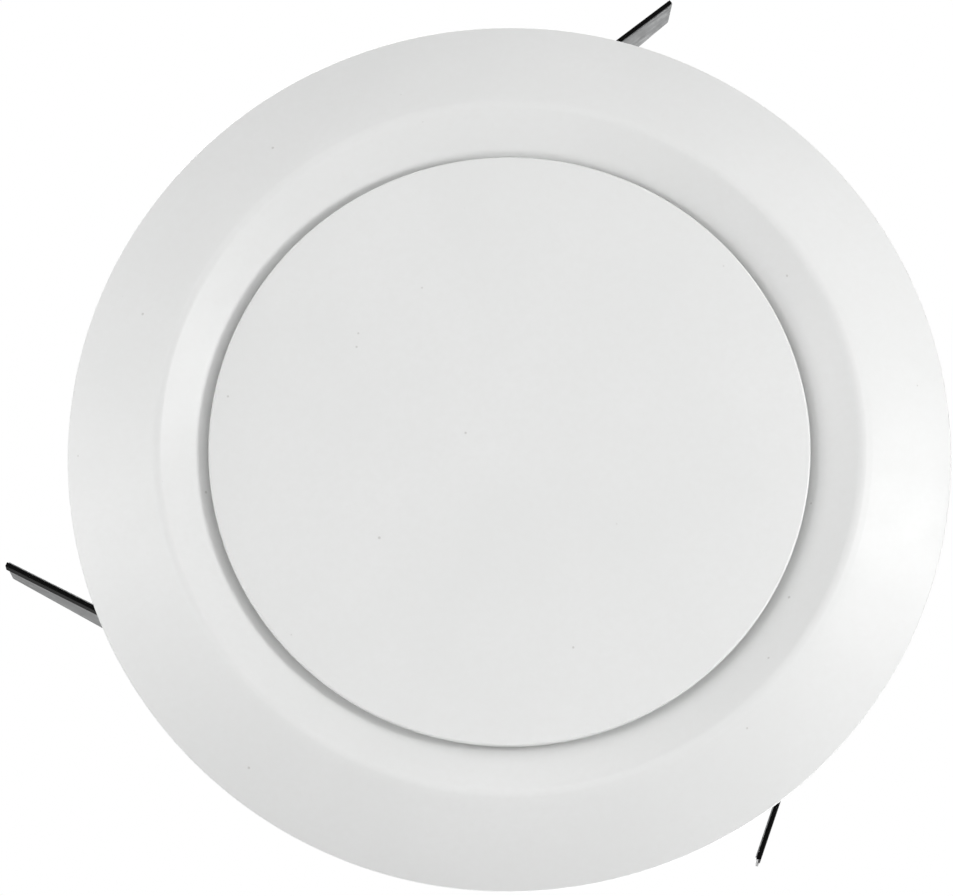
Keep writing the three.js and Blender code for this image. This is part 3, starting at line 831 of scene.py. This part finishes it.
def hub_bush():
    low, high = (corner.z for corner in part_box("hub_bush"))
    bore, barrel, flange = BUSH_BORE, 8 * MM, 11 * MM
    flange_high = low + 2.5 * MM
    section = rounded([(bore, low, 0.5 * MM), (flange, low, 0.5 * MM), (flange, flange_high, 0.3 * MM),
                       (barrel, flange_high, 0.1 * MM), (barrel, high, 0.4 * MM), (bore, high, 0.4 * MM)])
    bush = turned(section, HUB_STEPS)
    notch_high = low + 1.2 * MM
    notches = [around(rod(1.1 * MM, low - PAST, notch_high, HOLE_STEPS), 60 * k, flange - 1.2 * MM)
               for k in range(6)]
    return cut(bush, together(notches))


def bush_retainer():
    """An external circlip: thickest opposite its gap, with an eared end on each side of it."""
    low, high = (corner.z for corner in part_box("bush_retainer"))
    inner, outer = 8.3 * MM, 11 * MM
    opening = math.radians(14)
    count = 72
    angles = [opening + (math.tau - 2 * opening) * k / count for k in range(count + 1)]
    outside = []
    for a in angles:
        thick = 1.1 * MM + (outer - inner - 1.1 * MM) * (0.5 - 0.5 * math.cos(a)) ** 1.5
        outside.append(((inner + thick) * math.cos(a), (inner + thick) * math.sin(a)))
    inside = [(inner * math.cos(a), inner * math.sin(a)) for a in reversed(angles)]
    ring = slab(outside + inside, low, high, 0.12 * MM)
    ear_angle = opening + math.radians(7)
    ears = []
    for angle in (ear_angle, -ear_angle):
        ear = tube(0.6 * MM, 1.25 * MM, low, high, HOLE_STEPS, 0.1 * MM)
        ears.append(around(ear, math.degrees(angle), outer - 1.27 * MM))
    return joined(ring, together(ears))


def disc_spindle():
    low, high = (corner.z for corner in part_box("disc_spindle"))
    radius, depth = SPINDLE["r"], SPINDLE["depth"]
    head_high = low + 2.6 * MM
    hexagon = 6.5 * MM

    def hex_ring(angle):
        past_flat = (angle + math.pi / 6) % (math.pi / 3) - math.pi / 6
        return hexagon * math.cos(math.pi / 6) / math.cos(past_flat)

    chamfer = 0.3 * MM
    rows = [(0, low), (lambda a: hex_ring(a) - chamfer, low), (hex_ring, low + chamfer),
            (hex_ring, head_high), (radius, head_high), (radius, head_high + 3 * MM)]
    first, last = head_high + 3.2 * MM, high - 0.4 * MM
    rows += thread_rows(radius, depth, SPINDLE["pitch"], SPINDLE["starts"], first, last, per_pitch=12)
    rows += [(radius - depth - 0.3 * MM, high), (0, high)]
    return turned(rows, HUB_STEPS)


def backlash_spring():
    low, high = (corner.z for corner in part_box("backlash_spring"))
    wire, radius = SPRING["wire"], SPRING["r"]
    turns, dead = SPRING["turns"], SPRING["dead"]
    bottom, top = low + wire, high - wire
    steps_per_turn, sides = 48, 14
    total = int(turns * steps_per_turn)

    def climb(turn):
        """Closed end coils lie a wire apart, and the working coils share the rest."""
        ends = 2 * wire * 1.04
        if turn < dead:
            return bottom + ends * turn
        if turn > turns - dead:
            return top - ends * (turns - turn)
        share = (turn - dead) / (turns - 2 * dead)
        return bottom + ends * dead + (top - bottom - 2 * ends * dead) * share

    shape = bmesh.new()
    rings = []
    for k in range(total + 1):
        turn = k / steps_per_turn
        angle = -math.tau * turn
        centre = Vector((radius * math.cos(angle), radius * math.sin(angle), climb(turn)))
        ahead = climb(min(turn + 0.01, turns)) - climb(max(turn - 0.01, 0))
        slope = ahead / (math.tau * radius * 0.02)
        out = Vector((math.cos(angle), math.sin(angle), 0))
        along = Vector((math.sin(angle), -math.cos(angle), slope)).normalized()
        up = out.cross(along).normalized()
        thin = min(1.0, 0.45 + 0.55 * min(turn, turns - turn) / 0.5)
        ring = []
        for s in range(sides):
            w = math.tau * s / sides
            ring.append(shape.verts.new(centre + out * wire * math.cos(w) + up * wire * math.sin(w) * thin))
        rings.append(ring)
    for one, two in zip(rings, rings[1:]):
        for s in range(sides):
            n = (s + 1) % sides
            shape.faces.new((one[s], one[n], two[n], two[s]))
    shape.faces.new(rings[0])
    shape.faces.new(rings[-1])
    bmesh.ops.recalc_face_normals(shape, faces=shape.faces)
    return shape


def slip_washer():
    low, high = (corner.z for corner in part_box("slip_washer"))
    return tube(BUSH_BORE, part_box("slip_washer")[1].x, low, high, edge=0.2 * MM)


def stop_nut():
    low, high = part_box("stop_nut")
    return hex_nut(high.y, BUSH_BORE, low.z, high.z, math.pi / 2)


# ---------------------------------------------------------------- disc and its plate

PILLAR_ANGLES = [PILLARS["first"] + 360 * k / PILLARS["count"] for k in range(PILLARS["count"])]


def centre_disc():
    back = DISC["edge"] + DISC["wall"]
    inner, outer, top = LOCATING_RING["inner"], LOCATING_RING["outer"], LOCATING_RING["top"]
    front = []
    count = 20
    for k in range(count):
        r = (DISC_RADIUS - DISC["round"]) * k / count
        front.append((r, DISC["edge"] - DISC["dome"] * (1 - (r / DISC_RADIUS) ** 2), 0))
    section = rounded([
        *front,
        (DISC_RADIUS, DISC["edge"], DISC["round"]),
        (DISC_RADIUS, back, 0.4 * MM),
        (outer, back, 0.6 * MM),
        (outer, top, 0.4 * MM),
        (inner, top, 0.4 * MM),
        (inner, back, 1.2 * MM),
        (24 * MM, back, 0),
        (22 * MM, back + 0.4 * MM, 0.4 * MM),
        (12 * MM, back + 0.4 * MM, 0),
        (0, back + 0.4 * MM, 0),
    ])
    pan = turned(section, RING_STEPS)
    half = RIBS["thick"] / 2
    middle = (inner + outer) / 2
    side = rounded([(RIBS["inner"], back - 1 * MM, 0), (middle, back - 1 * MM, 0),
                    (middle, RIBS["top"], 0), (RIBS["inner"], RIBS["top"], 1.5 * MM)])
    ribs = [around(moved(slab(side, -half, half, 0.25 * MM), UPRIGHT), 360 * k / RIBS["count"])
            for k in range(RIBS["count"])]
    plate_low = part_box("spindle_plate")[0].z
    pillars = [around(rod(PILLARS["r"], back - 1 * MM, plate_low - GAP, edge=0.4 * MM), a, PILLARS["ring"])
               for a in PILLAR_ANGLES]
    body = joined(pan, together(ribs + pillars))
    holes = [around(hole(back + 1.6 * MM, plate_low, PILLARS["bore"]), a, PILLARS["ring"])
             for a in PILLAR_ANGLES]
    return cut(body, together(holes))


def spindle_plate():
    low, high = (corner.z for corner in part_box("spindle_plate"))
    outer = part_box("spindle_plate")[1].x
    top = low + 2.2 * MM
    section = rounded([(BUSH_BORE, low, 0.3 * MM), (outer, low, 0.4 * MM), (outer, top, 0.6 * MM),
                       (8.5 * MM, top, 1.5 * MM), (8.3 * MM, high, 0.5 * MM), (BUSH_BORE, high, 0.4 * MM)])
    plate = turned(section, HUB_STEPS)
    webs = []
    for k in range(3):
        web = rounded([(7 * MM, top - 0.5 * MM, 0), (18 * MM, top - 0.5 * MM, 0),
                       (18 * MM, top + 0.2 * MM, 0.1 * MM), (8 * MM, high - 0.8 * MM, 0.4 * MM),
                       (7 * MM, high - 0.8 * MM, 0)])
        web_angle = PILLARS["first"] + 60 + 120 * k
        webs.append(around(moved(slab(web, -0.7 * MM, 0.7 * MM, 0.15 * MM), UPRIGHT), web_angle))
    plate = joined(plate, together(webs))
    holes = [around(hole(low, top, PILLARS["bore"]), a, PILLARS["ring"]) for a in PILLAR_ANGLES]
    return cut(plate, together(holes))


# ---------------------------------------------------------------- clamps


def clamp_screw():
    low, high = (corner.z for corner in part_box("clamp_screw_1"))
    seat = low + 2.6 * MM
    flipped = Matrix.Rotation(math.pi, 4, "X")
    return moved(pan_screw(2 * MM, PITCH_M4, -high, -seat, 3.5 * MM, -low), flipped)


def clamp_nut():
    low, high = (corner.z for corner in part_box("clamp_nut_1"))
    half = NUT["width"] / 2
    plate = rounded([(-NUT["inward"], -half, 0.6 * MM), (NUT["outward"], -half, 3 * MM),
                     (NUT["outward"], half, 3 * MM), (-NUT["inward"], half, 0.6 * MM)])
    barrel = rod(NUT["barrel"], low + 0.5 * MM, high, edge=0.35 * MM)
    body = joined(slab(plate, low, low + NUT["plate"], 0.3 * MM), barrel)
    return cut(body, countersunk(CLEAR_M4, low, high, 0.4 * MM))


def wave_washer():
    low, high = (corner.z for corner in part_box("wave_washer_1"))
    thick = 0.35 * MM
    swell = (high - low - thick) / 2
    inner, outer = 4.3 * MM, 6.2 * MM

    def wave(height):
        return lambda angle: (low + high) / 2 + height + swell * math.sin(3 * angle)

    under, over = wave(-thick / 2), wave(thick / 2)
    return turned([(inner, under), (outer, under), (outer, over), (inner, over)], HUB_STEPS)


def eye_clip():
    """An E-clip: an open ring with three inner pads."""
    low, high = (corner.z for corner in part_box("eye_clip_1"))
    pad, root, outer = 4.3 * MM, 4.75 * MM, 6 * MM
    opening = math.radians(38)
    count = 60
    angles = [opening + (math.tau - 2 * opening) * k / count for k in range(count + 1)]
    outside = [(outer * math.cos(a), outer * math.sin(a)) for a in angles]
    inside = []
    for a in reversed(angles):
        at_pad = min(abs(a - p) for p in (opening, math.pi, math.tau - opening)) < math.radians(16)
        r = pad if at_pad else root
        inside.append((r * math.cos(a), r * math.sin(a)))
    return slab(outside + inside, low, high, 0.1 * MM)


def arm_blade():
    """Sheet rolled once round the barrel, which runs on as the tapered blade."""
    low, high = (corner.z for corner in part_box("arm_blade_1"))
    half, length = BLADE["thick"] / 2, BLADE["length"]
    roll = math.radians(325)
    steps = 44
    curl = [-math.pi / 2 - roll * k / steps for k in range(steps + 1)]
    outer, inner = EYE_RADIUS + half, EYE_RADIUS - half
    section = [(length, -outer)]
    section += [(outer * math.cos(a), outer * math.sin(a)) for a in curl]
    section += [(inner * math.cos(a), inner * math.sin(a)) for a in reversed(curl)]
    section += [(length, -inner)]
    blade = slab(section, low, high, 0.08 * MM)
    slope_start = length - (high - BLADE["tip"]) / BLADE["slope"]
    beyond = length + PAST
    over = rounded([
        (slope_start, high, 0), (length - BLADE["setback"], BLADE["tip"], 1 * MM),
        (length, low + PAST, 0.6 * MM), (length, low, 0), (length - PAST, low, 0),
        (length - PAST, low - PAST, 0), (beyond, low - PAST, 0), (beyond, high + PAST, 0),
        (slope_start, high + PAST, 0)])
    trim = moved(slab(over, EYE_RADIUS - PAST, EYE_RADIUS + PAST), UPRIGHT)
    edge = box_outline((STRIP["start"], length - HEM["short"]), (-inner - HEM["sunk"], -inner + HEM["out"]))
    return joined(cut(blade, trim), slab(edge, low, low + HEM["high"], 0.15 * MM))


def edge_strip():
    low, high = (corner.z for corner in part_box("arm_edge_strip_1"))
    inside = -EYE_RADIUS + BLADE["thick"] / 2
    skin = -EYE_RADIUS - BLADE["thick"] / 2 - STRIP["gap"]
    outside = skin - STRIP["thick"]
    hem = low + STRIP["hem"]
    section = rounded([
        (outside, low, 0.28 * MM), (inside, low, 0.2 * MM), (inside, hem, 0.1 * MM), (skin, hem, 0.05 * MM),
        (skin, high, 0.2 * MM), (outside, high, 0.28 * MM)])
    along_x = Matrix(((0, 0, 1, 0), (1, 0, 0, 0), (0, 1, 0, 0), (0, 0, 0, 1)))
    return moved(slab(section, STRIP["start"], BLADE["length"], 0.08 * MM), along_x)


def lock_nut():
    low, high = (corner.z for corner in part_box("clamp_lock_nut_1"))
    return hex_nut(4 * MM, CLEAR_M4, low, high, math.pi / 2)


def clamps():
    fixed = {
        "clamp_screw": clamp_screw(),
        "clamp_lock_nut": lock_nut(),
        "clamp_nut": clamp_nut(),
        "wave_washer": wave_washer(),
        "eye_clip": eye_clip(),
    }
    swinging = {"arm_blade": arm_blade(), "arm_edge_strip": edge_strip()}
    fixed = {name: template(shape) for name, shape in fixed.items()}
    swinging = {name: template(shape) for name, shape in swinging.items()}
    for n, centre, angle in pivots():
        base = Matrix.Translation(centre) @ Matrix.Rotation(math.radians(angle), 4, "Z")
        swing = math.radians(SWING_OUT - JOINTS[f"arm_swing_{n}"]["range_deg"][0])
        arm = base @ Matrix.Rotation(swing, 4, "Z")
        for name, mesh in fixed.items():
            show(f"{name}_{n}", copied(mesh, base))
        for name, mesh in swinging.items():
            show(f"{name}_{n}", copied(mesh, arm))
    for mesh in [*fixed.values(), *swinging.values()]:
        bpy.data.meshes.remove(mesh)


# ---------------------------------------------------------------- the object

show("face_ring", face_ring())
show("ceiling_gasket", ceiling_gasket())
show("duct_collar", duct_collar())
for n in range(1, 7):
    show(f"collar_rivet_{n}", rivet(f"collar_rivet_{n}"))
show("core_ring", core_ring())
show("core_spider", core_spider())
small_screws()
show("hub_bush", hub_bush())
show("bush_retainer", bush_retainer())
show("disc_spindle", disc_spindle())
show("slip_washer", slip_washer())
show("stop_nut", stop_nut())
show("centre_disc", centre_disc())
show("spindle_plate", spindle_plate())
clamps()

spring = show("backlash_spring", backlash_spring(), even=False)
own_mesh(spring)


# ---------------------------------------------------------------- stage, light and camera

FLOOR = {"depth": 3.0, "thick": 0.1, "radius": 80.0, "sides": 64}
CAMERA_TILT = math.radians(12.149)
CAMERA_TURN = math.radians(0.144)
CAMERA_SHIFT = Vector((0.0102, -0.00265, -2.793))  # the object's origin as the camera sees it
CAMERA_LENS = 340
LIGHT_DISTANCE = 0.95
AMBIENT = 0.445


def floor():
    """A wide pale floor below, which the camera sees in its own even light."""
    top = -FLOOR["depth"]
    shape = slab(polygon(FLOOR["sides"], FLOOR["radius"]), top - FLOOR["thick"], top)
    mesh = bpy.data.meshes.new("floor")
    shape.to_mesh(mesh)
    shape.free()
    material = bpy.data.materials.new("pale_floor")
    material.use_nodes = True
    tree = material.node_tree
    shader = tree.nodes["Principled BSDF"]
    shader.inputs["Base Color"].default_value = (0.86, 0.86, 0.86, 1)
    shader.inputs["Roughness"].default_value = 0.9
    seen = node(tree, "ShaderNodeEmission", {"Color": (0.8, 0.8, 0.8, 1), "Strength": 1.0})
    ray = node(tree, "ShaderNodeLightPath").outputs["Is Camera Ray"]
    mixed = node(tree, "ShaderNodeMixShader", {0: ray, 1: shader.outputs[0], 2: seen.outputs[0]})
    tree.links.new(mixed.outputs[0], tree.nodes["Material Output"].inputs["Surface"])
    mesh.materials.append(material)
    made = bpy.data.objects.new("floor", mesh)
    bpy.context.scene.collection.objects.link(made)


def area_light(name, azimuth, depression, size, watts):
    """A square light that faces the object, from a direction in degrees.

    It stands below the object where the depression is positive.
    """
    data = bpy.data.lights.new(name, "AREA")
    data.shape = "SQUARE"
    data.size = size
    data.energy = watts
    made = bpy.data.objects.new(name, data)
    out = Vector((math.cos(math.radians(azimuth)), math.sin(math.radians(azimuth)), 0))
    away = out * math.cos(math.radians(depression)) + Vector((0, 0, -math.sin(math.radians(depression))))
    made.location = away * LIGHT_DISTANCE
    made.rotation_euler = away.to_track_quat("Z", "Y").to_euler()
    made.visible_camera = False
    bpy.context.scene.collection.objects.link(made)


def world():
    """White to look at, and a softer pale light on the object."""
    made = bpy.data.worlds.new("studio")
    bpy.context.scene.world = made
    made.use_nodes = True
    tree = made.node_tree
    tree.nodes.clear()
    seen = node(tree, "ShaderNodeBackground", {"Color": (1, 1, 1, 1), "Strength": 1.0})
    lit = node(tree, "ShaderNodeBackground", {"Color": (1, 1, 1, 1), "Strength": AMBIENT})
    ray = node(tree, "ShaderNodeLightPath").outputs["Is Camera Ray"]
    mixed = node(tree, "ShaderNodeMixShader", {0: ray, 1: lit.outputs[0], 2: seen.outputs[0]})
    node(tree, "ShaderNodeOutputWorld", {"Surface": mixed.outputs[0]})


def camera():
    data = bpy.data.cameras.new("camera")
    data.lens = CAMERA_LENS
    data.sensor_width = 36
    data.clip_end = 200
    made = bpy.data.objects.new("camera", data)
    turn = (Matrix.Rotation(math.pi, 4, "X") @ Matrix.Rotation(CAMERA_TURN, 4, "Y")
            @ Matrix.Rotation(CAMERA_TILT, 4, "X"))
    made.matrix_world = turn @ Matrix.Translation(-CAMERA_SHIFT)
    bpy.context.scene.collection.objects.link(made)
    bpy.context.scene.camera = made


floor()
world()
area_light("east", 0, 30, 0.3, 3.95)
area_light("west_low", 180, 12, 0.4, 2.2)
area_light("west_high", 180, 42, 0.3, 1.75)
area_light("north", 90, 45, 0.4, 0.8)
area_light("south", 270, 20, 0.4, 0.9)
area_light("north_east", 45, 35, 0.4, 0.5)
area_light("south_east", 315, 35, 0.4, 0.5)
area_light("over_north_east", 70, -40, 0.6, 7.5)
area_light("over_south_west", 250, -40, 0.6, 7.5)
camera()
bpy.context.scene.view_settings.view_transform = "Standard"
